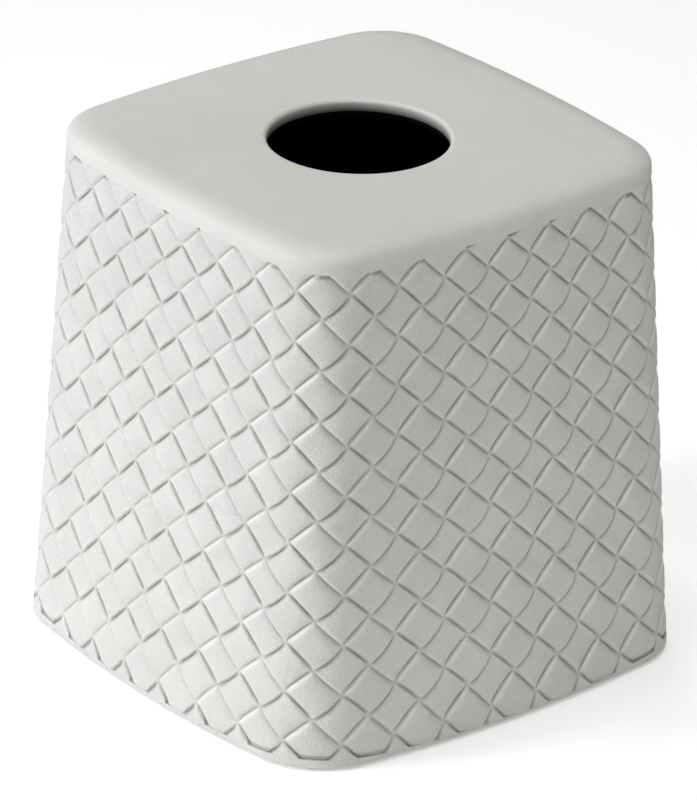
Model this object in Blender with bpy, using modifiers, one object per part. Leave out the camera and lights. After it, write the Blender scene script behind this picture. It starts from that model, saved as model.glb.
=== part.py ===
"""Tissue box cover: a tapering square cover with rounded corners and slightly bowed walls, a
smooth cap with a round opening, and a wall moulded as a diagonal basket weave. It is open below and
is lifted over a cube tissue carton. Metres, +Z up, origin under the middle of the cover, where its
foot pads stand."""
import math

import bmesh
import bpy

# The whole cover
BODY_HEIGHT = 0.15
BASE_WIDTH = 0.148
TOP_WIDTH = 0.1312
BASE_BOW = 0.0033
TOP_BOW = 0.0022
BASE_CORNER_RADIUS = 0.0225
TOP_CORNER_RADIUS = 0.0205
OPENING_DIAMETER = 0.051
FIT_GAP = 0.0003

# The cap
SHOULDER_RADIUS = 0.005
CAP_PLATE = 0.003
SKIRT_DEPTH = 0.0057
LIP_RADIUS = 0.0012
INNER_SHOULDER_SHARE = 0.6

# The woven sleeve
SLEEVE_WALL = 0.002
CROWN_RISE = 0.0002
STRAND_DROP = 0.0005
NODE_DROP = 0.0005
TIP_DROP = 0.0002
LOW_TIP_CUT = 0.0026
HIGH_TIP_CUT = 0.002
STRAND_COLUMNS = 32
STRAND_ROWS = 10
BOW_SHARE = 0.05
GROOVE_SHARE = 0.025

# The black carcass
CARCASS_WALL = 0.0015
CARCASS_PLATE = 0.0018
CARCASS_HOLE_MARGIN = 0.0008

# The bottom rim
RIM_HEIGHT = 0.0024
RIM_EDGE_RADIUS = 0.0006
UPSTAND_HEIGHT = 0.0042
UPSTAND_WALL = 0.0012
LEDGE_WIDTH = 0.001
CORNER_WEB = 0.0055

# The foot pads
PAD_DIAMETER = 0.008
PAD_THICKNESS = 0.0015
PAD_PROUD = 0.0007
PAD_EDGE_RADIUS = 0.0002
CUT_OVERRUN = 0.001

# Facets
CORNER_SEGMENTS = 10
SIDE_SEGMENTS = 6
SHOULDER_SEGMENTS = 5
LIP_SEGMENTS = 3
INNER_SEGMENTS = 2
PAD_SEGMENTS = 24

# Heights above the floor
RIM_BOTTOM = PAD_PROUD
RIM_TOP = RIM_BOTTOM + RIM_HEIGHT
WALL_BOTTOM = RIM_TOP + FIT_GAP
CAP_TOP = RIM_BOTTOM + BODY_HEIGHT
SHOULDER_BASE = CAP_TOP - SHOULDER_RADIUS
SKIRT_BOTTOM = CAP_TOP - SKIRT_DEPTH
SLEEVE_TOP = SKIRT_BOTTOM - FIT_GAP
CAP_UNDERSIDE = CAP_TOP - CAP_PLATE
CARCASS_TOP = CAP_UNDERSIDE - FIT_GAP

# Depths in from the cover's outer face, measured level
CARCASS_FACE = SLEEVE_WALL + FIT_GAP
CARCASS_INSIDE = CARCASS_FACE + CARCASS_WALL
UPSTAND_FACE = CARCASS_INSIDE + FIT_GAP
UPSTAND_INSIDE = UPSTAND_FACE + UPSTAND_WALL

# The weave's lattice, in half columns round the wall and half rows up it
HALF_COLUMNS = 2 * STRAND_COLUMNS
HALF_ROWS = 2 * STRAND_ROWS
LATTICE_BOTTOM = WALL_BOTTOM - LOW_TIP_CUT
HALF_ROW_PITCH = (SLEEVE_TOP + HIGH_TIP_CUT - LATTICE_BOTTOM) / HALF_ROWS
LOW_CUT = LOW_TIP_CUT / HALF_ROW_PITCH
HIGH_CUT = HALF_ROWS - HIGH_TIP_CUT / HALF_ROW_PITCH


def start_empty():
    """Clear the scene and make one collection for the parts and one for the cutters."""
    for old in list(bpy.data.objects):
        bpy.data.objects.remove(old, do_unlink=True)
    made = []
    for name in ("tissue_box_cover", "cutters"):
        collection = bpy.data.collections.new(name)
        bpy.context.scene.collection.children.link(collection)
        made.append(collection)
    return made


def plastic(name, colour, roughness):
    """A moulded plastic of one colour."""
    material = bpy.data.materials.new(name)
    material.use_nodes = True
    shader = material.node_tree.nodes["Principled BSDF"]
    shader.inputs["Base Color"].default_value = (*colour, 1)
    shader.inputs["Roughness"].default_value = roughness
    shader.inputs["Metallic"].default_value = 0
    return material


def add_object(name, bm, collection, material=None):
    """Turn finished geometry into a named object with its faces pointing out."""
    bmesh.ops.recalc_face_normals(bm, faces=bm.faces[:])
    mesh = bpy.data.meshes.new(name)
    bm.to_mesh(mesh)
    bm.free()
    mesh.shade_smooth()
    mesh.set_sharp_from_angle(angle=math.radians(35))
    if material:
        mesh.materials.append(material)
    piece = bpy.data.objects.new(name, mesh)
    collection.objects.link(piece)
    return piece


def taper_share(z):
    """How far up the taper a height lies. The taper ends at the cap's shoulder."""
    return min(max((z - RIM_BOTTOM) / (SHOULDER_BASE - RIM_BOTTOM), 0), 1)


def half_width(z):
    """Half the cover's width at a height, at the middles of its walls."""
    return (BASE_WIDTH + (TOP_WIDTH - BASE_WIDTH) * taper_share(z)) / 2


def wall_bow(z):
    """How far the middle of a wall stands out beyond its corners at a height."""
    return BASE_BOW + (TOP_BOW - BASE_BOW) * taper_share(z)


def corner_radius(z):
    """The plan radius of the upright corners at a height."""
    return BASE_CORNER_RADIUS + (TOP_CORNER_RADIUS - BASE_CORNER_RADIUS) * taper_share(z)


def quarter_turned(x, y, turns):
    """A point after quarter turns about the middle."""
    for _ in range(turns % 4):
        x, y = -y, x
    return x, y


class Outline:
    """A square in plan with rounded corners, whose walls are long arcs that run into the corners'.

    A direction on it is the angle that its face has turned from the front wall's middle, -Y.
    """

    def __init__(self, half, bow, radius):
        self.half = half
        self.radius = radius
        self.reach = half - bow - radius
        self.wall_radius = radius + (self.reach**2 + bow**2) / (2 * bow)
        self.limit = math.asin(self.reach / (self.wall_radius - radius))

    def point(self, turn):
        """The point of the front wall and its two corners that faces a direction."""
        if abs(turn) <= self.limit:
            return self.wall_radius * math.sin(turn), self.wall_radius * (1 - math.cos(turn)) - self.half
        x = math.copysign(self.reach, turn) + self.radius * math.sin(turn)
        return x, -self.reach - self.radius * math.cos(turn)

    def ring(self, z):
        """Points all round at a height: along each wall, then round its corner."""
        turns = [self.limit * (2 * step / SIDE_SEGMENTS - 1) for step in range(SIDE_SEGMENTS)]
        swing = math.pi / 2 - 2 * self.limit
        turns += [self.limit + swing * step / CORNER_SEGMENTS for step in range(CORNER_SEGMENTS)]
        quarter = [self.point(turn) for turn in turns]
        return [(*quarter_turned(x, y, side), z) for side in range(4) for x, y in quarter]

    def at(self, share):
        """The point and the way it faces at a share of the outline's length from the front corner."""
        half_corner = self.radius * (math.pi / 4 - self.limit)
        wall = self.wall_radius * 2 * self.limit
        turns, way = divmod((share % 1) * 4 * (2 * half_corner + wall), 2 * half_corner + wall)
        if way < half_corner:
            turn = way / self.radius - math.pi / 4
        elif way < half_corner + wall:
            turn = (way - half_corner) / self.wall_radius - self.limit
        else:
            turn = (way - half_corner - wall) / self.radius + self.limit
        outward = quarter_turned(math.sin(turn), -math.cos(turn), int(turns))
        return quarter_turned(*self.point(turn), int(turns)), outward

    def corner_reach(self):
        """How far it reaches from the middle at its corners."""
        return self.reach * math.sqrt(2) + self.radius


def body_outline(depth, z):
    """The cover's outline at a height, drawn in by a depth."""
    return Outline(half_width(z) - depth, wall_bow(z), corner_radius(z) - depth)


def body_ring(depth, z):
    """Points round the cover's outline at a height, drawn in by a depth."""
    return body_outline(depth, z).ring(z)


def shoulder_rings(depth, base, radius, segments):
    """Outlines up a rounded edge, from an upright face at that depth to a flat top."""
    rings = []
    for step in range(segments + 1):
        turn = math.pi / 2 * step / segments
        inset = depth + radius * (1 - math.cos(turn))
        z = base + radius * math.sin(turn)
        rings.append(body_outline(inset, base).ring(z))
    return rings


def round_ring(radius, z):
    """Points round a circle, as many as in an outline's ring, the walls' middles in line."""
    count = 4 * (SIDE_SEGMENTS + CORNER_SEGMENTS)
    start = -math.pi / 2 - math.tau * SIDE_SEGMENTS / count / 2
    turns = [start + math.tau * step / count for step in range(count)]
    return [(radius * math.cos(turn), radius * math.sin(turn), z) for turn in turns]


def lip_rings(centre_height, start, end):
    """Circles round one rounded edge of the opening, from a start to an end angle in degrees."""
    centre = OPENING_DIAMETER / 2 + LIP_RADIUS
    rings = []
    for step in range(LIP_SEGMENTS + 1):
        turn = math.radians(start + (end - start) * step / LIP_SEGMENTS)
        z = centre_height + LIP_RADIUS * math.sin(turn)
        rings.append(round_ring(centre - LIP_RADIUS * math.cos(turn), z))
    return rings


def loft(rings):
    """A solid with a hole through it: rings of one count joined in turn, and the last to the first."""
    bm = bmesh.new()
    loops = [[bm.verts.new(point) for point in ring] for ring in rings]
    for k, loop in enumerate(loops):
        before = loops[k - 1]
        for n in range(len(loop)):
            bm.faces.new((before[n - 1], before[n], loop[n], loop[n - 1]))
    return bm


def make_cap(material, collection):
    """The cap: a skirt that stands on the sleeve, a rounded shoulder and the lipped opening."""
    inner_radius = (CAP_UNDERSIDE - SKIRT_BOTTOM) * INNER_SHOULDER_SHARE
    inner = shoulder_rings(SLEEVE_WALL, CAP_UNDERSIDE - inner_radius, inner_radius, INNER_SEGMENTS)
    rings = [body_ring(SLEEVE_WALL, SKIRT_BOTTOM), body_ring(0, SKIRT_BOTTOM)]
    rings += shoulder_rings(0, SHOULDER_BASE, SHOULDER_RADIUS, SHOULDER_SEGMENTS)
    rings += lip_rings(CAP_TOP - LIP_RADIUS, 90, 0)
    rings += lip_rings(CAP_UNDERSIDE + LIP_RADIUS, 0, -90)
    rings += reversed(inner)
    return add_object("top_cap", loft(rings), collection, material)


def make_carcass(material, collection):
    """The black box inside: four walls and a top plate with a round hole under the opening."""
    outer_radius = (CAP_UNDERSIDE - SKIRT_BOTTOM) * INNER_SHOULDER_SHARE - FIT_GAP
    hole = OPENING_DIAMETER / 2 + CARCASS_HOLE_MARGIN
    plate_bottom = CARCASS_TOP - CARCASS_PLATE
    rings = [body_ring(CARCASS_INSIDE, WALL_BOTTOM), body_ring(CARCASS_FACE, WALL_BOTTOM)]
    rings += shoulder_rings(CARCASS_FACE, CARCASS_TOP - outer_radius, outer_radius, INNER_SEGMENTS)
    rings += [round_ring(hole, CARCASS_TOP), round_ring(hole, plate_bottom)]
    rings.append(body_ring(CARCASS_INSIDE, plate_bottom))
    return add_object("inner_carcass", loft(rings), collection, material)


class Weave:
    """The sleeve's outer face: one arched tile wherever a strand passes over another.

    Places are counted in half columns round the wall from the front corner, and half rows up it.
    A tile's middle has an odd sum of counts and a node, where four tiles meet, an even one. In even
    columns the upper strand rises to the right, in odd ones it falls.
    """

    def __init__(self, bm):
        self.bm = bm
        self.known = {}

    def vertex(self, kind, column, row, level):
        """The one vertex of that kind at that place, standing a level proud of the plain wall."""
        key = (kind, round(column % HALF_COLUMNS, 6) % HALF_COLUMNS, round(row, 6))
        if key not in self.known:
            z = LATTICE_BOTTOM + HALF_ROW_PITCH * row
            (x, y), outward = body_outline(0, z).at(column / HALF_COLUMNS)
            self.known[key] = self.bm.verts.new((x + outward[0] * level, y + outward[1] * level, z))
        return self.known[key]

    def line(self, column, row, lean, on_top):
        """Points up the line from a node to the next one up to its right (1) or left (-1).

        The strand on top bows out over the other, whose edge lies a strand's thickness below it.
        Both meet in the nodes. The cap and the rim cut the last lines short.
        """
        low, high = max(row, LOW_CUT), min(row + 1, HIGH_CUT)
        away = 1 if column % 2 == 0 else -1
        shift = away * (BOW_SHARE if on_top else BOW_SHARE + GROOVE_SHARE)
        drop = 0 if on_top else STRAND_DROP
        points = []
        for place in (low, (low + high) / 2, high):
            rise = place - row
            arch = 4 * rise * (1 - rise)
            level = -NODE_DROP * (1 - arch) - drop * arch
            if arch == 0:
                points.append(self.vertex("node", column + lean * rise, place, level))
            elif place in (LOW_CUT, HIGH_CUT):
                across = column + lean * rise + 2 * shift * arch
                points.append(self.vertex(on_top, across, place, level))
            else:
                across, up = column + lean * rise + shift * arch, place - lean * shift * arch
                points.append(self.vertex(on_top, across, up, level))
        return points

    def add_step(self, column, row, lean):
        """The step from the strand on top down to the one that passes under it, along one line."""
        top = self.line(column, row, lean, True)
        under = self.line(column, row, lean, False)
        for k in range(len(top) - 1):
            corners = [top[k], top[k + 1], under[k + 1], under[k]]
            self.bm.faces.new(list(dict.fromkeys(corners)))

    def add_tile(self, column, row):
        """One tile, as triangles round its crown, or round its cut edge where only half shows."""
        falls = column % 2 == 1
        around = []
        if row > LOW_CUT:
            around += self.line(column, row - 1, 1, not falls)
        if row < HIGH_CUT:
            around += self.line(column + 1, row, -1, falls)
        if row + 1 > HIGH_CUT:
            around.append(self.vertex("tip", column, HIGH_CUT, 0 if falls else -TIP_DROP))
        if row < HIGH_CUT:
            around += reversed(self.line(column - 1, row, 1, not falls))
        if row > LOW_CUT:
            around += reversed(self.line(column, row - 1, -1, falls))
        if row - 1 < LOW_CUT:
            around.append(self.vertex("tip", column, LOW_CUT, 0 if falls else -TIP_DROP))
        around = list(dict.fromkeys(around))
        if LOW_CUT < row < HIGH_CUT:
            hub = self.vertex("crown", column, row, CROWN_RISE)
        else:
            hub = self.vertex("tip", column, min(max(row, LOW_CUT), HIGH_CUT), 0)
        for k, corner in enumerate(around):
            if hub not in (corner, around[k - 1]):
                self.bm.faces.new((hub, around[k - 1], corner))

    def add_all(self):
        """Every tile, and the steps along every line between two nodes."""
        for row in range(HALF_ROWS + 1):
            for column in range(HALF_COLUMNS):
                if (column + row) % 2 == 1:
                    self.add_tile(column, row)
                elif row < HALF_ROWS:
                    self.add_step(column, row, 1)
                    self.add_step(column, row, -1)


def make_sleeve(material, collection):
    """The woven sleeve: the weave outside, a plain face inside, and flat top and bottom edges."""
    bm = bmesh.new()
    Weave(bm).add_all()
    outer_edges = [edge for edge in bm.edges if edge.is_boundary]
    middle = (WALL_BOTTOM + SLEEVE_TOP) / 2
    loops = []
    for z in (WALL_BOTTOM, SLEEVE_TOP):
        verts = [bm.verts.new(point) for point in body_ring(SLEEVE_WALL, z)]
        inner_edges = [bm.edges.new((verts[k - 1], verts[k])) for k in range(len(verts))]
        same_end = [edge for edge in outer_edges if (edge.verts[0].co.z > middle) == (z > middle)]
        bmesh.ops.triangle_fill(bm, use_beauty=True, edges=same_end + inner_edges, normal=(0, 0, 1))
        loops.append(verts)
    low, high = loops
    for k in range(len(low)):
        bm.faces.new((low[k - 1], low[k], high[k], high[k - 1]))
    return add_object("woven_wall", bm, collection, material)


def web_reach():
    """How far from the middle the webs in the rim's corners leave it clear."""
    return body_outline(UPSTAND_INSIDE, RIM_TOP).corner_reach() - CORNER_WEB


def web_ring(z):
    """The rim's clear inside: a ledge along its sides, and corner webs that carry the foot pads."""
    half = half_width(RIM_TOP) - UPSTAND_INSIDE - LEDGE_WIDTH
    bow = wall_bow(RIM_TOP)
    radius = ((half - bow) * math.sqrt(2) - web_reach()) / (math.sqrt(2) - 1)
    return Outline(half, bow, radius).ring(z)


def pad_places():
    """The four pads' centres, halfway across the web and wall at each corner."""
    outer = body_outline(0, RIM_BOTTOM).corner_reach()
    offset = (outer + web_reach()) / 2 / math.sqrt(2)
    return [quarter_turned(-offset, -offset, turns) for turns in range(4)]


def add_disc(name, radius, low, high, place, collection, material=None):
    """A round disc between two heights."""
    bm = bmesh.new()
    bmesh.ops.create_cone(bm, cap_ends=True, segments=PAD_SEGMENTS, radius1=radius, radius2=radius,
                          depth=high - low)
    disc = add_object(name, bm, collection, material)
    disc.location = (*place, (low + high) / 2)
    return disc


def make_rim(material, collection, cutters):
    """The plain hem: a frame under sleeve and carcass, an upstand inside it, and pad pockets."""
    upstand_top = RIM_TOP + UPSTAND_HEIGHT
    rings = [body_ring(RIM_EDGE_RADIUS, RIM_BOTTOM), body_ring(0, RIM_BOTTOM + RIM_EDGE_RADIUS)]
    rings += [body_ring(0, RIM_TOP), body_ring(UPSTAND_FACE, RIM_TOP)]
    rings += [body_ring(UPSTAND_FACE, upstand_top), body_ring(UPSTAND_INSIDE, upstand_top)]
    rings += [body_ring(UPSTAND_INSIDE, RIM_TOP), web_ring(RIM_TOP), web_ring(RIM_BOTTOM)]
    rim = add_object("bottom_rim", loft(rings), collection, material)
    for number, place in enumerate(pad_places(), 1):
        pocket = add_disc(f"pad_pocket_{number}", PAD_DIAMETER / 2 + FIT_GAP, RIM_BOTTOM - CUT_OVERRUN,
                          PAD_THICKNESS + FIT_GAP, place, cutters)
        pocket.hide_render = True
        pocket.display_type = "WIRE"
        cut = rim.modifiers.new(pocket.name, "BOOLEAN")
        cut.operation = "DIFFERENCE"
        cut.object = pocket
    return rim


def make_pads(material, collection):
    """Four soft pads let into the rim, which stand just proud of it."""
    for number, place in enumerate(pad_places(), 1):
        pad = add_disc(f"foot_pad_{number}", PAD_DIAMETER / 2, 0, PAD_THICKNESS, place, collection,
                       material)
        edge = pad.modifiers.new("edge", "BEVEL")
        edge.width = PAD_EDGE_RADIUS
        edge.segments = 1
        edge.limit_method = "ANGLE"


parts, cutters = start_empty()
off_white = plastic("off_white", (0.8, 0.8, 0.77), 0.5)
make_carcass(plastic("black", (0.01, 0.01, 0.01), 0.6), parts)
make_sleeve(plastic("woven_off_white", (0.8, 0.8, 0.77), 0.5), parts)
make_cap(off_white, parts)
make_rim(plastic("rim_off_white", (0.8, 0.8, 0.77), 0.5), parts, cutters)
make_pads(plastic("pad_grey", (0.25, 0.25, 0.25), 0.8), parts)
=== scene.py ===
"""Looks for the tissue box cover: its woven wall, smooth cap, hem and black inside, made round the
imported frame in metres, and the studio that it stands in."""
import math

import bmesh
import bpy
from mathutils import Matrix, Vector


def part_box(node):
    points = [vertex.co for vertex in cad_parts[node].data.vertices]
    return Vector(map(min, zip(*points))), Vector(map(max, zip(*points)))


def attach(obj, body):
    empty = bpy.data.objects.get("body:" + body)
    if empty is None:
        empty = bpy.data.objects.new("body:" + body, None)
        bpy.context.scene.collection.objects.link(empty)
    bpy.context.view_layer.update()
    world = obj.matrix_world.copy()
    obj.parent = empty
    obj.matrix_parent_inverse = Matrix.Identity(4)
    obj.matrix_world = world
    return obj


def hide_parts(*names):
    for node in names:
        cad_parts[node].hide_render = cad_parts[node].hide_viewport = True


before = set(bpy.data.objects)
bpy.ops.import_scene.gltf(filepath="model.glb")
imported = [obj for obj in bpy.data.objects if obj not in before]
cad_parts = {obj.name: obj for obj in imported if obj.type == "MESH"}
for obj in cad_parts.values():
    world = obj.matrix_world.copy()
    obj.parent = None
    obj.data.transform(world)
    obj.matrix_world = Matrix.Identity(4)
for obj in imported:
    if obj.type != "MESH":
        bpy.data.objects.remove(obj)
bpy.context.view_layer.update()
parts = bpy.context.scene.collection


# The inner carcass is a black rigid moulding that carries everything else. It shows through the
# opening and from below. It is injection moulded in black plastic with a fine matt texture, so the
# CAD solid stays and only its finish is made here.

PLASTIC_IOR = 1.46
CARCASS_SHINE = 0.1
TONE_SPREAD = (0.38, 0.62)

# How far the grain's cells are bent out of line, in metres, and how much of the uneven tone is slow
# patches. The rest of it is fine specks.
CELL_BEND = 0.0005
PATCH_SHARE = 0.5


def add_node(tree, kind, **settings):
    """A shader node. A setting is one of the node's own, or the value of the input of that name."""
    node = tree.nodes.new(kind)
    for name, value in settings.items():
        if hasattr(node, name):
            setattr(node, name, value)
        else:
            node.inputs[name.replace("_", " ")].default_value = value
    return node


def new_group(name, inputs, outputs):
    """An empty shader node group with named inputs, with their usual values, and outputs."""
    tree = bpy.data.node_groups.new(name, "ShaderNodeTree")
    for label, usual in inputs.items():
        socket = tree.interface.new_socket(label, in_out="INPUT", socket_type="NodeSocketFloat")
        socket.default_value = usual
    for label in outputs:
        tree.interface.new_socket(label, in_out="OUTPUT", socket_type="NodeSocketFloat")
    return tree, tree.nodes.new("NodeGroupInput"), tree.nodes.new("NodeGroupOutput")


def make_grain_group():
    """Moulded leather grain: small raised cells with creases between them, and slow unevenness.

    Relief is the height of the grain, Tone and Wear are masks from 0 to 1 for colour and roughness.
    """
    inputs = {"Cells per metre": 2400.0, "Crease": 0.6, "Patches per metre": 45.0}
    tree, into, out = new_group("leather_grain", inputs, ("Relief", "Tone", "Wear"))
    link = tree.links.new
    place = add_node(tree, "ShaderNodeTexCoord")
    bend = add_node(tree, "ShaderNodeTexNoise", Scale=900.0, Detail=2.0)
    link(place.outputs["Object"], bend.inputs["Vector"])
    bent = add_node(tree, "ShaderNodeVectorMath", operation="MULTIPLY_ADD")
    bent.inputs[1].default_value = (CELL_BEND, CELL_BEND, CELL_BEND)
    link(bend.outputs["Color"], bent.inputs[0])
    link(place.outputs["Object"], bent.inputs[2])
    cells = add_node(tree, "ShaderNodeTexVoronoi", feature="SMOOTH_F1", Smoothness=0.35)
    link(bent.outputs[0], cells.inputs["Vector"])
    link(into.outputs["Cells per metre"], cells.inputs["Scale"])
    crease = add_node(tree, "ShaderNodeMath", operation="MULTIPLY")
    link(cells.outputs["Distance"], crease.inputs[0])
    link(into.outputs["Crease"], crease.inputs[1])
    fine = add_node(tree, "ShaderNodeTexNoise", Scale=5200.0, Detail=2.0, Roughness=0.6)
    link(place.outputs["Object"], fine.inputs["Vector"])
    relief = add_node(tree, "ShaderNodeMath", operation="SUBTRACT")
    link(fine.outputs["Fac"], relief.inputs[0])
    link(crease.outputs[0], relief.inputs[1])
    link(relief.outputs[0], out.inputs["Relief"])
    patches = add_node(tree, "ShaderNodeTexNoise", Detail=4.0, Roughness=0.55)
    link(place.outputs["Object"], patches.inputs["Vector"])
    link(into.outputs["Patches per metre"], patches.inputs["Scale"])
    specks = add_node(tree, "ShaderNodeTexNoise", Scale=1500.0, Detail=3.0, Roughness=0.7)
    link(place.outputs["Object"], specks.inputs["Vector"])
    tone = add_node(tree, "ShaderNodeMath", operation="MULTIPLY_ADD")
    tone.inputs[1].default_value = PATCH_SHARE
    speck_tone = add_node(tree, "ShaderNodeMath", operation="MULTIPLY")
    speck_tone.inputs[1].default_value = 1 - PATCH_SHARE
    link(specks.outputs["Fac"], speck_tone.inputs[0])
    link(patches.outputs["Fac"], tone.inputs[0])
    link(speck_tone.outputs[0], tone.inputs[2])
    link(tone.outputs[0], out.inputs["Tone"])
    wear = add_node(tree, "ShaderNodeTexNoise", Scale=130.0, Detail=5.0, Roughness=0.65)
    link(place.outputs["Object"], wear.inputs["Vector"])
    link(wear.outputs["Fac"], out.inputs["Wear"])
    return tree


leather_grain = make_grain_group()


def grained_plastic(name, dark, light, roughness, grain, bump, painted_shade=None, painted_highlight=None):
    """A moulded plastic: its grain group gives the bump, and shades colour and roughness a little.

    Roughness is a range, and bump a strength and a depth in metres. Where the mesh carries a value of
    painted shade or of painted highlight, the colour goes over to that darker or lighter colour.
    """
    material = bpy.data.materials.new(name)
    material.use_nodes = True
    tree = material.node_tree
    link = tree.links.new
    shader = tree.nodes["Principled BSDF"]
    shader.inputs["IOR"].default_value = PLASTIC_IOR
    texture = add_node(tree, "ShaderNodeGroup")
    texture.node_tree = leather_grain
    for label, value in grain.items():
        texture.inputs[label].default_value = value
    colour = add_node(tree, "ShaderNodeValToRGB")
    for stop, position, tint in zip(colour.color_ramp.elements, TONE_SPREAD, (dark, light)):
        stop.position = position
        stop.color = (*tint, 1)
    link(texture.outputs["Tone"], colour.inputs["Fac"])
    base = colour.outputs["Color"]
    # Painted shade and painted highlight: mesh values that darken or lighten the base colour.
    for mask, tint in (("painted_shade", painted_shade), ("painted_highlight", painted_highlight)):
        if tint:
            where = add_node(tree, "ShaderNodeAttribute", attribute_name=mask)
            tinted = add_node(tree, "ShaderNodeMix", data_type="RGBA")
            link(where.outputs["Fac"], tinted.inputs["Factor"])
            link(base, tinted.inputs["A"])
            tinted.inputs["B"].default_value = (*tint, 1)
            base = tinted.outputs["Result"]
    link(base, shader.inputs["Base Color"])
    rough = add_node(tree, "ShaderNodeMapRange", To_Min=roughness[0], To_Max=roughness[1])
    link(texture.outputs["Wear"], rough.inputs["Value"])
    link(rough.outputs["Result"], shader.inputs["Roughness"])
    dents = add_node(tree, "ShaderNodeBump", Strength=bump[0], Distance=bump[1])
    link(texture.outputs["Relief"], dents.inputs["Height"])
    link(dents.outputs["Normal"], shader.inputs["Normal"])
    return material


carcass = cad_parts["inner_carcass"]
carcass_black = grained_plastic(
    "carcass_black", dark=(0.0006, 0.0006, 0.0006), light=(0.0016, 0.0016, 0.0016),
    roughness=(0.7, 0.85), bump=(0.3, 0.00006),
    grain={"Cells per metre": 1800.0, "Crease": 0.5, "Patches per metre": 60.0})
carcass_shader = carcass_black.node_tree.nodes["Principled BSDF"]
carcass_shader.inputs["Specular IOR Level"].default_value = CARCASS_SHINE
carcass.data.materials.clear()
carcass.data.materials.append(carcass_black)


# The woven wall is a sleeve moulded as a diagonal basket weave of flat strands, in off-white plastic
# with a fine leather grain. It is dropped over the carcass, and the cap and the hem close its edges.
# Plain weave: in even columns the strand that rises to the right lies on top, in odd ones it is under.

# The body tapers from base to top. Its walls bow outwards a little and run into round corners.
rim_low, rim_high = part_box("bottom_rim")
sleeve_low, sleeve_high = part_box("woven_wall")
_, cap_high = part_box("top_cap")
BODY_BOTTOM = rim_low.z
BODY_TOP = cap_high.z
BASE_HALF = rim_high.x
TOP_HALF = cap_high.x
SHOULDER_HEIGHT = 0.005
TAPER_TOP = BODY_TOP - SHOULDER_HEIGHT
BASE_BOW = 0.0033
TOP_BOW = 0.0022
BASE_CORNER = 0.0225
TOP_CORNER = 0.0205


def between(low, high, share):
    """A value that share of the way from the low one to the high one."""
    return low + (high - low) * share


def clamp(value):
    """The value kept between 0 and 1."""
    return min(max(value, 0), 1)


class Outline:
    """The cover in plan at one height: bowed walls that run smoothly into round corners.

    A direction on it is the angle that its face has turned from the front wall's middle, -Y. A side
    is an arc of radius wall that turns by limit each way, about a point at front on the middle line.
    A corner is an arc about a point at reach in X and Y.
    """

    def __init__(self, half, bow, corner):
        self.corner = corner
        self.reach = half - bow - corner
        self.wall = corner + (self.reach**2 + bow**2) / (2 * bow)
        self.limit = math.asin(self.reach / (self.wall - corner))
        self.front = self.wall - half
        self.corner_length = corner * (math.pi / 2 - 2 * self.limit)
        self.side_length = self.corner_length + self.wall * 2 * self.limit

    def facing(self, turn, side=0, proud=0.0):
        """The point that faces a direction on one of the four sides, standing proud of the wall."""
        if abs(turn) <= self.limit:
            x, y = self.wall * math.sin(turn), self.front - self.wall * math.cos(turn)
        else:
            x = math.copysign(self.reach, turn) + self.corner * math.sin(turn)
            y = -self.reach - self.corner * math.cos(turn)
        x, y = x + proud * math.sin(turn), y - proud * math.cos(turn)
        for _ in range(side):
            x, y = -y, x
        return x, y

    def at(self, share, proud=0.0):
        """The point at a share of the way round to the right from the front left corner."""
        side, way = divmod((share % 1) * 4 * self.side_length, self.side_length)
        if way < self.corner_length / 2:
            turn = way / self.corner - math.pi / 4
        elif way < self.side_length - self.corner_length / 2:
            turn = (way - self.corner_length / 2) / self.wall - self.limit
        else:
            turn = (way - self.side_length) / self.corner + math.pi / 4
        return self.facing(turn, int(side), proud)


def body_outline(z, inset=0.0):
    """The cover's outline at a height, or one drawn in from it."""
    share = (z - BODY_BOTTOM) / (TAPER_TOP - BODY_BOTTOM)
    return Outline(between(BASE_HALF, TOP_HALF, share) - inset, between(BASE_BOW, TOP_BOW, share),
                   between(BASE_CORNER, TOP_CORNER, share) - inset)


# Tiles sit at every second place of a grid of columns and rows. Row 0 lies below the weave's lower
# edge and the last row above its upper one, so both edges cut through tiles.
COLUMNS = 64
ROWS = 20
COLUMNS_PER_SIDE = COLUMNS / 4
WEAVE_LOW = sleeve_low.z
WEAVE_HIGH = sleeve_high.z
WEAVE_MIDDLE = (WEAVE_LOW + WEAVE_HIGH) / 2
LOW_TILE_CUT = 0.00295
HIGH_TILE_CUT = 0.00165
ROW_ZERO = WEAVE_LOW - LOW_TILE_CUT
ROW_PITCH = (WEAVE_HIGH + HIGH_TILE_CUT - ROW_ZERO) / ROWS

# How the grid strays from an even one, in rows and in columns: row_lift and column_shift say where.
# RIGHT_SWING is how fast the two walls' characters change over at the corners.
MIDDLE_LIFT = 0.228
LIFT_SLOPE = -0.124
LIFT_CURVE = -0.485
CORNER_CROWDING = 0.051
WALL_LEAN = (0.065, 0, 0, -0.2)
RIGHT_SWING = 0.75


def row_lift(column, row):
    """How far a row climbs from the corners to a wall's middle, in rows: most at half height."""
    up = row / (ROWS / 2) - 1
    most = MIDDLE_LIFT + LIFT_SLOPE * up + LIFT_CURVE * up * up
    return most * math.sin(math.pi * column / COLUMNS_PER_SIDE) ** 2


def column_shift(column):
    """How far a column strays to the right, in columns: evenly at corners, by wall in between."""
    lean = WALL_LEAN[int(column % COLUMNS // COLUMNS_PER_SIDE)]
    crowding = CORNER_CROWDING * math.sin(math.tau * column / COLUMNS_PER_SIDE)
    return crowding + lean * math.sin(math.pi * column / COLUMNS_PER_SIDE) ** 2


def right_share(column):
    """How much of the right-hand wall's character a column has: none on the left-hand wall."""
    return clamp(0.5 + RIGHT_SWING * math.sin(math.tau * column / COLUMNS))


# Where dive, groove and the painted highlight along the ridge lie, as shares of the way from a tile's
# middle to its end or side, and how much of the dive the tile's corners take part in.
DIVE_START = 0.4
DIVE_POWER = 1.5
CORNER_DIVE = 0.5
GROOVE_START = 0.82
GROOVE_EDGE = 0.1
HIGHLIGHT_AT = 0.91
HIGHLIGHT_HALF = 0.15
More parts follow.
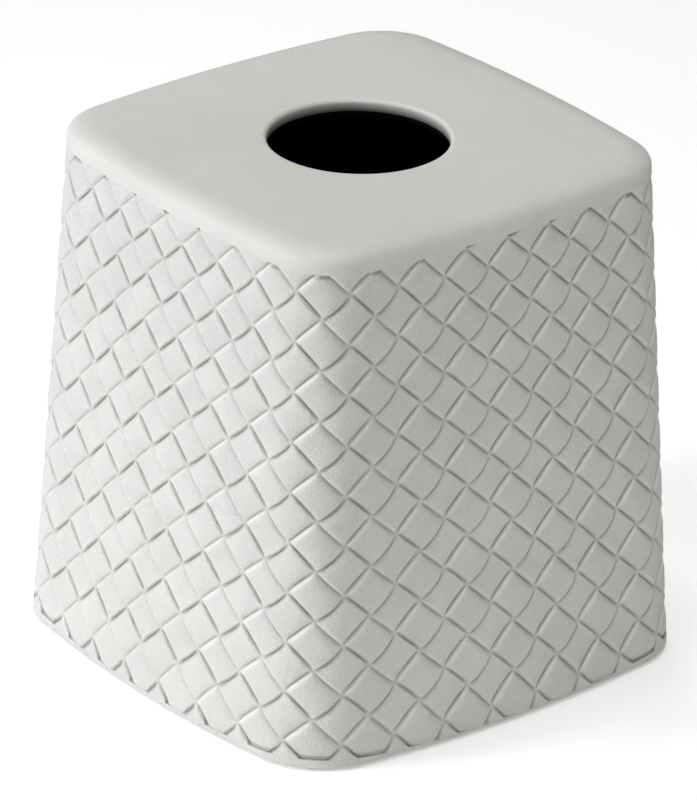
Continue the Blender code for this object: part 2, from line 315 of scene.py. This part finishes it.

# The grooves' strength at a tile's upper and at its lower end, each on the left and on the right wall.
# It sets how deep the trench is and how dark the painted shade in the groove is, which differs from
# wall to wall with the light.
RISING_GROOVES = ((0.02, 0.85), (1, 0.7))
FALLING_GROOVES = ((1, 0.55), (0.35, 1))


def in_groove(across, along):
    """1 in the groove at a tile's two ends, 0 on the rest of it and at its corners."""
    end, side = abs(along) * 2, abs(across) * 2
    return clamp((end - GROOVE_START) / GROOVE_EDGE) * (1 - side**4)


def trench_and_shade(rising, along, right):
    """Trench depth and painted shade strength at a tile's upper or lower end, between the two walls'
    values.
    """
    upper, lower = RISING_GROOVES if rising else FALLING_GROOVES
    return between(*(upper if along > 0 else lower), right)


# The strands' section in metres: half a strand's width, the wall's thickness, how deep the ends dive,
# the radius of the edges, how far the surface falls from its crown to them, and the trench at the ends.
STRAND_HALF = 0.0055
WEAVE_WALL = 0.0019
STRAND_DROP = 0.0008
EDGE_ROUND = 0.001
CROWN = 0.00004
TRENCH_DEPTH = 0.0005


def tile_height(across, along, deep):
    """The strand's surface over one tile: 0 on its crown, lowest where it dives under the next."""
    end, side = abs(along) * 2, abs(across) * 2
    dive = max((end - DIVE_START) / (1 - DIVE_START), 0) ** DIVE_POWER
    dive *= between(1, CORNER_DIVE, side**3)
    edge = max(1 - (1 - side) * STRAND_HALF / EDGE_ROUND, 0)
    rounding = EDGE_ROUND * (1 - math.sqrt(1 - edge * edge)) * (1 - end**4)
    trench = TRENCH_DEPTH * deep * in_groove(across, along)
    return -STRAND_DROP * dive - trench - rounding - CROWN * side**2


# The painted highlight's strength: on the rising strands' upper sides it grows from the left wall to
# the right.
LIT_HIGHLIGHT = 0.3
LIT_HIGHLIGHT_GAIN = 3
PLAIN_HIGHLIGHT = 0.2


def tile_masks(rising, across, along, right):
    """How much painted shade a point gets in the groove at a tile's ends, and painted highlight on the
    ridge along its sides.
    """
    end, side = abs(along) * 2, abs(across) * 2
    lit = min(LIT_HIGHLIGHT + LIT_HIGHLIGHT_GAIN * right, 1) if rising and across > 0 else PLAIN_HIGHLIGHT
    painted_highlight = max(1 - abs(side - HIGHLIGHT_AT) / HIGHLIGHT_HALF, 0) * (1 - end**4)
    return in_groove(across, along) * trench_and_shade(rising, along, right), painted_highlight * lit


# How far the strands' sides bow outwards, as a share of a tile: a rising strand's upper and lower side
# on the right wall, a falling strand's lower side on the left wall, and its upper side anywhere. The
# end of a strand stops that much short of the one that goes over it.
UPPER_BOW = 0.02
LOWER_BOW = 0.13
LEFT_WALL_BOW = 0.02
FALLING_BOW = 0.005
END_SETBACK = 0.012


def border_bows(column, rise, fall, right):
    """How far the borders nearest to a point of a tile bow: the one that rises and the one that falls.

    Each border is one strand's side and another strand's end, so both tiles have to find the same bow.
    """
    rising = column % 2 == 0
    above = fall > 0 if rising else fall < 0
    rising_bow = right * (UPPER_BOW if above else LOWER_BOW)
    below = rise > 0 if rising else rise < 0
    left = 1 - right_share(column - fall + math.copysign(0.5, rise))
    falling_bow = left * LEFT_WALL_BOW if below else FALLING_BOW
    return rising_bow, falling_bow


def tile_point(column, row, rise, fall):
    """A point of the tile at that column and row: its place in rise and fall, from -0.5 to 0.5."""
    rising = column % 2 == 0
    across, along = (fall, rise) if rising else (rise, fall)
    right = right_share(column + rise - math.copysign(0.5, fall))
    height = tile_height(across, along, trench_and_shade(rising, along, right))
    rising_bow, falling_bow = border_bows(column, rise, fall, right)
    side_bow, end_bow = (rising_bow, falling_bow) if rising else (falling_bow, rising_bow)
    setback = END_SETBACK if abs(along) * 2 >= 1 else 0
    wide = across * (1 + 2 * side_bow * (1 - 4 * along * along))
    long = along * (1 - 2 * (end_bow + setback) * (1 - 4 * across * across))
    rise, fall = (long, wide) if rising else (wide, long)
    c, r = column + rise - fall, row + rise + fall
    return c, ROW_ZERO + ROW_PITCH * (r + row_lift(c, r)), height


# The lines of a tile's fine grid, from its middle outwards, and the values that its points carry: the
# material reads the masks of painted shade and painted highlight, and the others help to shape the
# weave. Tuck is 1 for a rising strand on the right wall, less for one on the left wall, and 0 for a
# falling strand; it also sets how dark the painted shade is where the strand tucks in.
TILE_STOPS = (0, 0.2, 0.33, 0.41, 0.455, 0.485, 0.5)
MASKS = ("painted_shade", "painted_highlight")
SHAPING = ("tuck_and_shade", "level", "out_x", "out_y")
LEFT_WALL_TUCK_SHADE = 0.7


class WeaveSkin:
    """The weave's outer skin: tiles, and steps down from each strand on top to the one under it."""

    def __init__(self):
        self.bm = bmesh.new()
        self.layer = {name: self.bm.verts.layers.float.new(name) for name in MASKS + SHAPING}
        self.stops = [-stop for stop in reversed(TILE_STOPS[1:])] + list(TILE_STOPS)
        self.last = len(self.stops) - 1
        self.known = {}

    def new_vertex(self, column, row, rise, fall):
        """Place a point of a tile, with its masks, its height and the way out of the wall there."""
        rising = column % 2 == 0
        across, along = (fall, rise) if rising else (rise, fall)
        c, z, height = tile_point(column, row, rise, fall)
        share = (c + column_shift(c)) / COLUMNS
        outline = body_outline(z)
        x, y = outline.at(share, height)
        metre_out = outline.at(share, height + 1)
        right = right_share(c)
        painted_shade, painted_highlight = tile_masks(rising, across, along, right)
        tuck_and_shade = between(LEFT_WALL_TUCK_SHADE, 1, right) if rising else 0
        values = (painted_shade, painted_highlight, tuck_and_shade, height, metre_out[0] - x, metre_out[1] - y)
        vert = self.bm.verts.new((x, y, z))
        for name, value in zip(MASKS + SHAPING, values):
            vert[self.layer[name]] = value
        return vert

    def vertex(self, column, row, i, j):
        """The point at one place of a tile's grid. Four tiles meet at a corner and share its point."""
        key = column % COLUMNS, row, i, j
        if i in (0, self.last) and j in (0, self.last):
            key = (column + (i - j) // self.last) % COLUMNS, row + (i + j) // self.last - 1
        if key not in self.known:
            self.known[key] = self.new_vertex(column, row, self.stops[i], self.stops[j])
        return self.known[key]

    def add_face(self, *corners):
        """A face between places of tiles' grids. It is left out where fewer than three differ."""
        corners = list(dict.fromkeys(self.vertex(*corner) for corner in corners))
        if len(corners) > 2:
            self.bm.faces.new(corners)

    def add_tile(self, column, row):
        """The fine grid of one tile."""
        for i in range(self.last):
            for j in range(self.last):
                self.add_face((column, row, i, j), (column, row, i + 1, j),
                              (column, row, i + 1, j + 1), (column, row, i, j + 1))

    def add_step(self, column, row, side):
        """The step from a tile's long edge down to the end of the next strand, which dives there."""
        last = self.last
        rising = column % 2 == 0
        way = 1 if side else -1
        under = (column - way if rising else column + way), row + way
        for k in range(last):
            near, far = (k, k + 1) if rising == (side > 0) else (k + 1, k)
            if rising:
                self.add_face((column, row, near, side), (column, row, far, side),
                              (*under, far, last - side), (*under, near, last - side))
            else:
                self.add_face((column, row, side, near), (column, row, side, far),
                              (*under, last - side, far), (*under, last - side, near))


# At the sleeve's edges the rising strands tuck in behind the cap and the hem, with a line of painted
# shade there.
# Points with a tuck value over TUCKED are theirs. The hem's line sags between the corners.
TUCK_DEPTH = 0.0007
TUCKED = 0.3
# TUCK_SHADE is how fast the painted shade line darkens towards the edge.
TUCK_SHADE = 2.5
CUT_FADE = 0.0016
FADE_CUTS = 3
HEM_SAG = 0.0017
SAG_HEIGHT = 0.012
CORNER_SHARPNESS = 8


def push_out(vert, layer, distance):
    """Move a point of the weave square to the wall."""
    vert.co.x += vert[layer["out_x"]] * distance
    vert.co.y += vert[layer["out_y"]] * distance


def corner_share(x, y):
    """1 at the cover's corners, falling fast to 0 along its walls."""
    return (2 * x * y / (x * x + y * y)) ** CORNER_SHARPNESS


def hem_sag(x, y, above):
    """How far the line between weave and hem hangs lower than at the corners, fading upwards."""
    return HEM_SAG * (1 - corner_share(x, y)) * max(1 - above / SAG_HEIGHT, 0) ** 2


def cut_level(bm):
    """Cut the skin off at its lower and upper edge, with lines beside them where its shape fades."""
    for edge, way in ((WEAVE_LOW, -1), (WEAVE_HIGH, 1)):
        for k in range(FADE_CUTS + 1):
            height = edge - way * CUT_FADE * k / FADE_CUTS
            everything = bm.verts[:] + bm.edges[:] + bm.faces[:]
            bmesh.ops.bisect_plane(bm, geom=everything, plane_co=(0, 0, height),
                                   plane_no=(0, 0, way), clear_outer=k == 0)


def fit_edges(bm, layer):
    """Tuck the rising strands in behind cap and hem, with painted shade along the tuck, and bring the
    falling ones flush with them.

    Along the foot only the corners' strands tuck in, and the whole edge follows the hem's sag.
    """
    painted_shade, tuck_and_shade, level = layer["painted_shade"], layer["tuck_and_shade"], layer["level"]
    for vert in bm.verts:
        x, y, z = vert.co
        low = z < WEAVE_MIDDLE
        near = max(1 - (z - WEAVE_LOW if low else WEAVE_HIGH - z) / CUT_FADE, 0)
        if vert[tuck_and_shade] > TUCKED:
            near *= corner_share(x, y) if low else 1
            move = min(-TUCK_DEPTH - vert[level], 0) * near**2
            # Painted shade: the tuck darkens the colour along the line where the strand goes in.
            vert[painted_shade] = max(vert[painted_shade], vert[tuck_and_shade] * min(TUCK_SHADE * near, 1))
        else:
            move = -vert[level] * near
        push_out(vert, layer, move)
        vert[level] += move
        vert.co.z -= hem_sag(vert.co.x, vert.co.y, vert.co.z - WEAVE_LOW)


def close_sleeve(bm, layer):
    """Turn the weave's skin into a wall: fold both edges inwards and join them by an inner skin."""
    rims = []
    for upper in (False, True):
        edge = [e for e in bm.edges if e.is_boundary and upper == (e.verts[0].co.z > WEAVE_MIDDLE)]
        inner = bmesh.ops.extrude_edge_only(bm, edges=edge)["geom"]
        for vert in inner:
            if isinstance(vert, bmesh.types.BMVert):
                push_out(vert, layer, -(WEAVE_WALL + vert[layer["level"]]))
        rims += [e for e in inner if isinstance(e, bmesh.types.BMEdge)]
    bmesh.ops.bridge_loops(bm, edges=rims)
    bmesh.ops.recalc_face_normals(bm, faces=bm.faces[:])


def make_weave():
    """The weave as a closed sleeve: its skin is cut level, fitted to cap and hem, and given a back."""
    skin = WeaveSkin()
    for row in range(-1, ROWS + 2):
        for column in range((row + 1) % 2, COLUMNS, 2):
            skin.add_tile(column, row)
            if row >= 0:
                skin.add_step(column, row, 0)
            if row <= ROWS:
                skin.add_step(column, row, skin.last)
    cut_level(skin.bm)
    fit_edges(skin.bm, skin.layer)
    close_sleeve(skin.bm, skin.layer)
    layers = skin.bm.verts.layers.float
    for name in SHAPING:
        layers.remove(layers[name])
    return skin.bm


def add_piece(name, bm, material, sharp_angle):
    """Turn finished geometry into a piece of the cover that rides on its one body."""
    mesh = bpy.data.meshes.new(name)
    bm.to_mesh(mesh)
    bm.free()
    mesh.shade_smooth()
    mesh.set_sharp_from_angle(angle=math.radians(sharp_angle))
    mesh.materials.append(material)
    piece = bpy.data.objects.new(name, mesh)
    parts.objects.link(piece)
    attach(piece, "root")
    return piece


# The wall's dark tint is painted shade in the grooves and along the tuck lines, its light tint a painted
# highlight on the strands' edges.
wall_cream = grained_plastic(
    "wall_cream", dark=(0.7, 0.702, 0.674), light=(0.785, 0.787, 0.757),
    roughness=(0.5, 0.66), bump=(1.0, 0.00024),
    grain={"Cells per metre": 1300.0, "Crease": 0.8, "Patches per metre": 60.0},
    painted_shade=(0.36, 0.36, 0.345), painted_highlight=(0.93, 0.93, 0.9))
wall = add_piece("moulded_weave", make_weave(), wall_cream, sharp_angle=38)
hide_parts("woven_wall")


# The cap is a smooth off-white moulding with a softly rounded shoulder and a round opening, whose
# lip is rounded over. Its skirt closes the carcass's top edge and meets the weave.

# The cap's section in metres. The shoulder turns in later than a quarter circle, by that power of it,
# and the collar is the opening's wall below its lip.
SHOULDER_WIDTH = 0.0085
SHOULDER_SLOWNESS = 1.5
OPENING_HALF = 0.0255
LIP = 0.0012
CAP_PLATE = 0.003
CAP_WALL = 0.002
COLLAR_HEIGHT = 0.0035
COLLAR_EDGE = 0.0003

# How finely the round edges are divided, and the rings along a side and in a corner. Edges that turn
# by more degrees than SHARP_ANGLE show as sharp.
SHOULDER_STEPS = 16
LIP_STEPS = 8
COLLAR_STEPS = 4
SIDE_STOPS = 20
CORNER_STOPS = 24
SHARP_ANGLE = 50


def quarter(start, end, steps):
    """Angles in radians from a start to an end in degrees."""
    return [math.radians(start + (end - start) * k / steps) for k in range(steps + 1)]


def ring_of(outline, z):
    """Points at one height all round an outline, close together in the corners."""
    swing = math.pi / 2 - 2 * outline.limit
    turns = [outline.limit * (2 * k / SIDE_STOPS - 1) for k in range(SIDE_STOPS)]
    turns += [outline.limit + swing * k / CORNER_STOPS for k in range(CORNER_STOPS)]
    return [(*outline.facing(turn, side), z) for side in range(4) for turn in turns]


def body_ring(z, inset=0.0):
    """Points all round the cover at a height, drawn in from its outline."""
    return ring_of(body_outline(z, inset), z)


def round_ring(radius, z):
    """A circle of as many points as an outline's ring, set out in step with it."""
    count = 4 * (SIDE_STOPS + CORNER_STOPS)
    turns = [math.tau * (k - SIDE_STOPS / 2) / count - math.pi / 2 for k in range(count)]
    return [(radius * math.cos(turn), radius * math.sin(turn), z) for turn in turns]


def join_loops(bm, before, after):
    """A band of faces between two loops of as many points."""
    for n in range(len(after)):
        bm.faces.new((before[n - 1], before[n], after[n], after[n - 1]))


def loft(rings):
    """A closed skin over rings of one count, joined in turn, and the last to the first."""
    bm = bmesh.new()
    loops = [[bm.verts.new(point) for point in ring] for ring in rings]
    for k, loop in enumerate(loops):
        join_loops(bm, loops[k - 1], loop)
    bmesh.ops.recalc_face_normals(bm, faces=bm.faces[:])
    return bm


def cap_rings():
    """Up the skirt, over the shoulder and the plate, round the lip and back under the plate."""
    rings = [body_ring(WEAVE_HIGH, CAP_WALL), body_ring(WEAVE_HIGH)]
    for turn in quarter(0, 90, SHOULDER_STEPS):
        inset = SHOULDER_WIDTH * (1 - math.cos(turn)) ** SHOULDER_SLOWNESS
        z = TAPER_TOP + SHOULDER_HEIGHT * math.sin(turn)
        rings.append(ring_of(body_outline(TAPER_TOP, inset), z))
    for turn in quarter(90, 0, LIP_STEPS):
        z = BODY_TOP - LIP * (1 - math.sin(turn))
        rings.append(round_ring(OPENING_HALF + LIP * (1 - math.cos(turn)), z))
    for turn in quarter(0, -90, COLLAR_STEPS):
        z = BODY_TOP - COLLAR_HEIGHT + COLLAR_EDGE * (1 + math.sin(turn))
        rings.append(round_ring(OPENING_HALF + COLLAR_EDGE * (1 - math.cos(turn)), z))
    underside = BODY_TOP - CAP_PLATE
    rings.append(round_ring(OPENING_HALF + 2 * COLLAR_EDGE, underside))
    rings.append(ring_of(body_outline(TAPER_TOP, CAP_WALL + SHOULDER_WIDTH / 2), underside))
    return rings


def shade_opening(bm):
    """Paint shade on the opening's wall: a value that grows downwards from its lip and darkens the colour.
    """
    painted_shade = bm.verts.layers.float.new("painted_shade")
    for vert in bm.verts:
        if math.hypot(vert.co.x, vert.co.y) < OPENING_HALF + LIP / 2:
            vert[painted_shade] = clamp((BODY_TOP - LIP / 2 - vert.co.z) / (COLLAR_HEIGHT - LIP))


# The cap's dark tint is painted shade on the opening's wall, deepening towards its foot.
cap_cream = grained_plastic(
    "cap_cream", dark=(0.66, 0.664, 0.635), light=(0.715, 0.72, 0.69),
    roughness=(0.55, 0.7), bump=(0.6, 0.00008),
    grain={"Cells per metre": 1300.0, "Crease": 0.6, "Patches per metre": 30.0},
    painted_shade=(0.12, 0.12, 0.12))
cap_shape = loft(cap_rings())
shade_opening(cap_shape)
cap = add_piece("smooth_cap", cap_shape, cap_cream, SHARP_ANGLE)
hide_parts("top_cap")


# The hem is a plain off-white frame that closes the lower edge of weave and carcass. It is moulded
# with an upstand that plugs into the carcass, and with corner webs for the foot pads.

# The hem's section in metres. The upstand's two faces are that far in from the outline, and the ledge
# and the webs reach that far further in, along the sides and across the corners.
HEM_GAP = 0.00005
HEM_TOP = WEAVE_LOW - HEM_GAP
HEM_WIDTH = 0.002
HEM_EDGE = 0.0006
HEM_EDGE_STEPS = 6
WEB_TOP = 0.0031
UPSTAND_TOP = rim_high.z
UPSTAND_FACE = 0.0041
UPSTAND_INSIDE = 0.0053
LEDGE = 0.001
CORNER_WEB = 0.0055

# The foot pads' radius and rounded edge, the gap between pad and pocket, and how far the shape that
# cuts a pocket reaches out below the hem.
PADS = 4
PAD_HALF = 0.004
PAD_EDGE = 0.0002
PAD_GAP = 0.0003
POCKET_OVERRUN = 0.001
DISC_SIDES = 64
DISC_EDGE_STEPS = 3


def web_outline():
    """The hem's clear inside: a ledge along its sides and a web across each corner."""
    inside = body_outline(WEB_TOP, UPSTAND_INSIDE)
    half = inside.wall - inside.front - LEDGE
    bow = half + LEDGE - inside.reach - inside.corner
    reach = inside.reach * math.sqrt(2) + inside.corner - CORNER_WEB
    return Outline(half, bow, ((half - bow) * math.sqrt(2) - reach) / (math.sqrt(2) - 1))


def hem_rings():
    """Round the hem's section: its lower edge, its outside, the upstand, the ledge and webs."""
    rings = []
    for turn in quarter(-90, 0, HEM_EDGE_STEPS):
        z = BODY_BOTTOM + HEM_EDGE * (1 + math.sin(turn))
        rings.append(body_ring(z, HEM_EDGE * (1 - math.cos(turn))))
    for inset in (0, HEM_WIDTH):
        rings.append([(x, y, z - hem_sag(x, y, 0)) for x, y, z in body_ring(HEM_TOP, inset)])
    upstand = ((WEB_TOP, HEM_WIDTH), (WEB_TOP, UPSTAND_FACE), (UPSTAND_TOP, UPSTAND_FACE),
               (UPSTAND_TOP, UPSTAND_INSIDE), (WEB_TOP, UPSTAND_INSIDE))
    rings += [body_ring(z, inset) for z, inset in upstand]
    clear = web_outline()
    return rings + [ring_of(clear, WEB_TOP), ring_of(clear, BODY_BOTTOM)]


def make_disc(radius, low, high, place, edge=0.0):
    """A solid disc standing up and down, with its lower and upper rims rounded over."""
    bm = bmesh.new()
    profile = [(low + edge, turn) for turn in quarter(-90, 0, DISC_EDGE_STEPS)]
    profile += [(high - edge, turn) for turn in quarter(0, 90, DISC_EDGE_STEPS)]
    turns = [math.tau * k / DISC_SIDES for k in range(DISC_SIDES)]
    loops = []
    for middle, rim_turn in profile:
        reach = radius - edge * (1 - math.cos(rim_turn))
        z = middle + edge * math.sin(rim_turn)
        loops.append([bm.verts.new((place.x + reach * math.cos(turn), place.y + reach * math.sin(turn), z))
                      for turn in turns])
    for before, after in zip(loops, loops[1:]):
        join_loops(bm, before, after)
    bm.faces.new(reversed(loops[0]))
    bm.faces.new(loops[-1])
    return bm


def cut_pocket(piece, place, top):
    """Cut a foot pad's round pocket into a piece, from below up to that height."""
    shape = make_disc(PAD_HALF + PAD_GAP, BODY_BOTTOM - POCKET_OVERRUN, top, place)
    mesh = bpy.data.meshes.new("pocket")
    shape.to_mesh(mesh)
    shape.free()
    pocket = bpy.data.objects.new("pocket", mesh)
    parts.objects.link(pocket)
    cut = piece.modifiers.new("pocket", "BOOLEAN")
    cut.operation = "DIFFERENCE"
    cut.object = pocket
    bpy.context.view_layer.objects.active = piece
    with bpy.context.temp_override(object=piece, active_object=piece, selected_objects=[piece]):
        bpy.ops.object.modifier_apply(modifier=cut.name)
    bpy.data.objects.remove(pocket)
    bpy.data.meshes.remove(mesh)


pad_low, pad_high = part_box("foot_pad_1")
pad_places = []
for number in range(1, PADS + 1):
    low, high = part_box(f"foot_pad_{number}")
    pad_places.append((low + high) / 2)
hem = add_piece("plain_hem", loft(hem_rings()), wall_cream, SHARP_ANGLE)
for place in pad_places:
    cut_pocket(hem, place, pad_high.z + PAD_GAP)
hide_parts("bottom_rim")


# The four foot pads are soft dark grey foam discs, pressed into the hem's pockets.

pad_foam = grained_plastic(
    "pad_foam", dark=(0.05, 0.05, 0.05), light=(0.075, 0.075, 0.074),
    roughness=(0.85, 0.95), bump=(0.8, 0.0001),
    grain={"Cells per metre": 3500.0, "Crease": 1.0, "Patches per metre": 300.0})
for number, place in enumerate(pad_places, 1):
    pad_shape = make_disc(PAD_HALF, pad_low.z, pad_high.z, place, PAD_EDGE)
    pad = add_piece(f"foam_pad_{number}", pad_shape, pad_foam, SHARP_ANGLE)
    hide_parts(f"foot_pad_{number}")


# The floor is a plain pale sheet under and behind the cover.

FLOOR_HALF = 3.0
FLOOR_WHITE = (0.95, 0.95, 0.95, 1)
FLOOR_ROUGHNESS = 0.9
FLOOR_GLOW = 0.33
WHITE = (1, 1, 1, 1)


def floor_white():
    """Matt white that also glows a little for the camera, so that it shows white with a shadow."""
    material = bpy.data.materials.new("floor_white")
    material.use_nodes = True
    tree = material.node_tree
    link = tree.links.new
    shader = tree.nodes["Principled BSDF"]
    shader.inputs["Base Color"].default_value = FLOOR_WHITE
    shader.inputs["Roughness"].default_value = FLOOR_ROUGHNESS
    rays = add_node(tree, "ShaderNodeLightPath")
    shown = add_node(tree, "ShaderNodeMath", operation="MULTIPLY")
    shown.inputs[1].default_value = FLOOR_GLOW
    link(rays.outputs["Is Camera Ray"], shown.inputs[0])
    shader.inputs["Emission Color"].default_value = WHITE
    link(shown.outputs[0], shader.inputs["Emission Strength"])
    return material


floor_mesh = bpy.data.meshes.new("studio_floor")
floor_corners = [(x * FLOOR_HALF, y * FLOOR_HALF, 0) for x, y in ((-1, -1), (1, -1), (1, 1), (-1, 1))]
floor_mesh.from_pydata(floor_corners, [], [(0, 1, 2, 3)])
floor_mesh.materials.append(floor_white())
floor = bpy.data.objects.new("studio_floor", floor_mesh)
parts.objects.link(floor)


# The light is a plain studio's: two soft lamps on the left, a weaker one before each wall that the
# camera sees, one above and one behind. The low ones are aimed at the cover's foot and spread less,
# which keeps the walls bright down to the hem. The white room shows, but gives hardly any light.

LAMP_AWAY = 1.4
LAMP_SIZE = 0.5
LOW_SPREAD = math.radians(75)
COOL_LIGHT = (0.966, 0.97, 1)
WARM_LIGHT = (1, 1, 0.985)
FOOT = 0
HALFWAY = 0.07
ROOM_LIGHT = 0.02
ROOM_SEEN = 1.0

# Each lamp's turn to the right of the front wall's middle and its rise, in degrees, the height that
# it is aimed at, its watts and its colour.
LAMPS = (
    ("key_lamp", -114, 12, FOOT, 2.5, COOL_LIGHT),
    ("upper_left_lamp", -120, 45, HALFWAY, 1.6, WARM_LIGHT),
    ("side_lamp", -67, 8, FOOT, 0.5, WARM_LIGHT),
    ("front_lamp", 8, 12, FOOT, 0.79, WARM_LIGHT),
    ("top_lamp", 0, 88, HALFWAY, 8.9, WARM_LIGHT),
    ("back_lamp", 152, 42, HALFWAY, 2.8, WARM_LIGHT),
)


def direction(turn, rise):
    """The way from the cover's middle that has turned right from -Y and risen by those angles."""
    return Vector((math.sin(turn) * math.cos(rise), -math.cos(turn) * math.cos(rise), math.sin(rise)))


def add_lamp(name, turn, rise, aim, watts, colour):
    """A square soft lamp that points at a height on the cover's middle line."""
    data = bpy.data.lights.new(name, "AREA")
    data.shape = "SQUARE"
    data.size = LAMP_SIZE
    data.energy = watts
    data.color = colour
    if aim == FOOT:
        data.spread = LOW_SPREAD
    place = Vector((0, 0, HALFWAY)) + direction(math.radians(turn), math.radians(rise)) * LAMP_AWAY
    lamp = bpy.data.objects.new(name, data)
    lamp.location = place
    lamp.rotation_euler = (Vector((0, 0, aim)) - place).to_track_quat("-Z", "Y").to_euler()
    parts.objects.link(lamp)


for lamp_settings in LAMPS:
    add_lamp(*lamp_settings)

world = bpy.data.worlds.new("studio")
bpy.context.scene.world = world
world.use_nodes = True
sky = world.node_tree.nodes["Background"]
sky.inputs["Color"].default_value = WHITE
rays = add_node(world.node_tree, "ShaderNodeLightPath")
seen = add_node(world.node_tree, "ShaderNodeMapRange", To_Min=ROOM_LIGHT, To_Max=ROOM_SEEN)
world.node_tree.links.new(rays.outputs["Is Camera Ray"], seen.inputs["Value"])
world.node_tree.links.new(seen.outputs["Result"], sky.inputs["Strength"])
bpy.context.scene.view_settings.view_transform = "Standard"


# The camera stands where the photograph was taken from and looks a little beside the cover's middle
# line. Its turn and rise are a lamp's, its lens is in millimetres, and lengths are in metres.

CAMERA_TURN = math.radians(-38.746)
CAMERA_RISE = math.radians(25.289)
CAMERA_ROLL = math.radians(1.132)
CAMERA_AWAY = 2.0523
CAMERA_LENS = 329.2
CAMERA_REACH = 20
TARGET_HEIGHT = 0.07004
TARGET_SIDE = -0.00135

sideways = Vector((math.cos(CAMERA_TURN), math.sin(CAMERA_TURN), 0))
back = direction(CAMERA_TURN, CAMERA_RISE)
upwards = back.cross(sideways)
camera_right = sideways * math.cos(CAMERA_ROLL) + upwards * math.sin(CAMERA_ROLL)
camera_up = -sideways * math.sin(CAMERA_ROLL) + upwards * math.cos(CAMERA_ROLL)
target = sideways * TARGET_SIDE + Vector((0, 0, TARGET_HEIGHT))
camera_data = bpy.data.cameras.new("photo_view")
camera_data.lens = CAMERA_LENS
camera_data.clip_end = CAMERA_REACH
camera = bpy.data.objects.new("photo_view", camera_data)
facing = Matrix((camera_right, camera_up, back)).transposed().to_4x4()
camera.matrix_world = Matrix.Translation(target + back * CAMERA_AWAY) @ facing
parts.objects.link(camera)
bpy.context.scene.camera = camera
